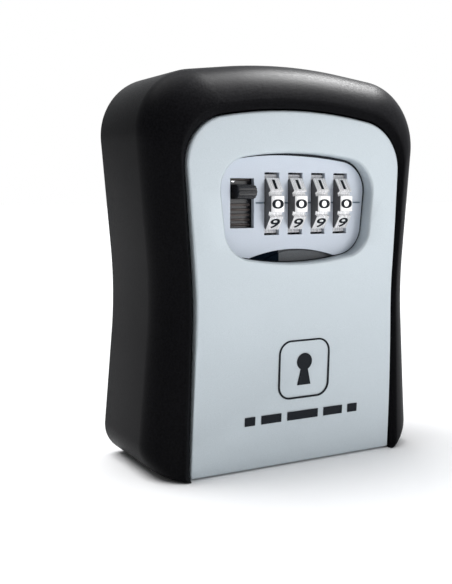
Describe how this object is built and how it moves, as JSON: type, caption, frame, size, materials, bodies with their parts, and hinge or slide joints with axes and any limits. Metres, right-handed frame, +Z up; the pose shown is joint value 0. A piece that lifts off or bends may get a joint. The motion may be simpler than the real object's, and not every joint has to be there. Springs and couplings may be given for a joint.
{
  "type": "key lock box",
  "caption": "Wall-mounted key lock box with a hinged front door, a row of combination dials, a slide latch and a key compartment.",
  "frame": {"origin": "middle of the base, halfway through the depth", "axes": "+Z up the face, +Y towards the wall, -Y out of the door, +X across the face"},
  "size_m": [0.094, 0.0406, 0.1194],
  "materials": {
    "black_paint": "satin",
    "silver_paint": "satin metallic",
    "plate_silver": "satin metallic",
    "dark_grey": "gloss",
    "zinc": "cast zinc",
    "screw_steel": "plated",
    "spring_steel": "drawn",
    "pin_steel": "ground",
    "dark_steel": "blackened",
    "dial_chrome": "polished",
    "cam_brass": "machined",
    "button_black": "moulded",
    "bolt_steel": "stamped",
    "lever_black": "moulded"
  },
  "bodies": {
    "housing": {"rear_housing": "black_paint", "hinge_pin": "pin_steel"},
    "door": {"door_shell": "silver_paint", "dial_plate": "plate_silver", "thumb_rest": "dark_grey", "mechanism_cover": "zinc", "cover_screws": "screw_steel", "plate_screws": "screw_steel", "detent_spring": "spring_steel", "latch_spring": "spring_steel", "shaft_spring": "spring_steel"},
    "shaft": {"dial_shaft": "pin_steel", "shaft_clip": "dark_steel"},
    "latch": {"latch_plate": "zinc", "slide_button": "button_black", "button_screw": "screw_steel", "bolt_spring": "spring_steel"},
    "bolt": {"latch_bolt": "bolt_steel"},
    "reset": {"reset_lever": "lever_black"},
    "dial_1_body": {"dial_1": "dial_chrome", "code_cam_1": "cam_brass"},
    "dial_2_body": {"dial_2": "dial_chrome", "code_cam_2": "cam_brass"},
    "dial_3_body": {"dial_3": "dial_chrome", "code_cam_3": "cam_brass"},
    "dial_4_body": {"dial_4": "dial_chrome", "code_cam_4": "cam_brass"}
  },
  "joints": [
    {"name": "door_swing", "type": "hinge", "parent": "housing", "child": "door", "pos_m": [0, -0.0148, 0.005], "axis": [1, 0, 0], "range_deg": [0, 100]},
    {"name": "latch_slide", "type": "slide", "parent": "door", "child": "latch", "axis": [0, 0, 1], "range_m": [-0.0022, 0], "stiffness_N_per_m": 250, "springref_m": 0.004, "deforming": ["latch_spring"]},
    {"name": "bolt_slide", "type": "slide", "parent": "latch", "child": "bolt", "axis": [0, 0, 1], "range_m": [0, 0.0022], "stiffness_N_per_m": 200, "springref_m": 0.006, "deforming": ["bolt_spring"]},
    {"name": "dial_1_turn", "type": "hinge", "parent": "door", "child": "dial_1_body", "pos_m": [-0.00725, -0.0092, 0.0786], "axis": [1, 0, 0], "continuous": true},
    {"name": "dial_2_turn", "type": "hinge", "parent": "door", "child": "dial_2_body", "pos_m": [0.00085, -0.0092, 0.0786], "axis": [1, 0, 0], "continuous": true},
    {"name": "dial_3_turn", "type": "hinge", "parent": "door", "child": "dial_3_body", "pos_m": [0.00895, -0.0092, 0.0786], "axis": [1, 0, 0], "continuous": true},
    {"name": "dial_4_turn", "type": "hinge", "parent": "door", "child": "dial_4_body", "pos_m": [0.01705, -0.0092, 0.0786], "axis": [1, 0, 0], "continuous": true},
    {"name": "reset_slide", "type": "slide", "parent": "door", "child": "reset", "axis": [0, 0, 1], "range_m": [0, 0.005]},
    {"name": "shaft_shift", "type": "slide", "parent": "door", "child": "shaft", "axis": [-1, 0, 0], "range_m": [0, 0.0012], "deforming": ["shaft_spring"]}
  ],
  "couplings": [
    {"joint": "shaft_shift", "follows": "reset_slide", "ratio": 0.24}
  ]
}
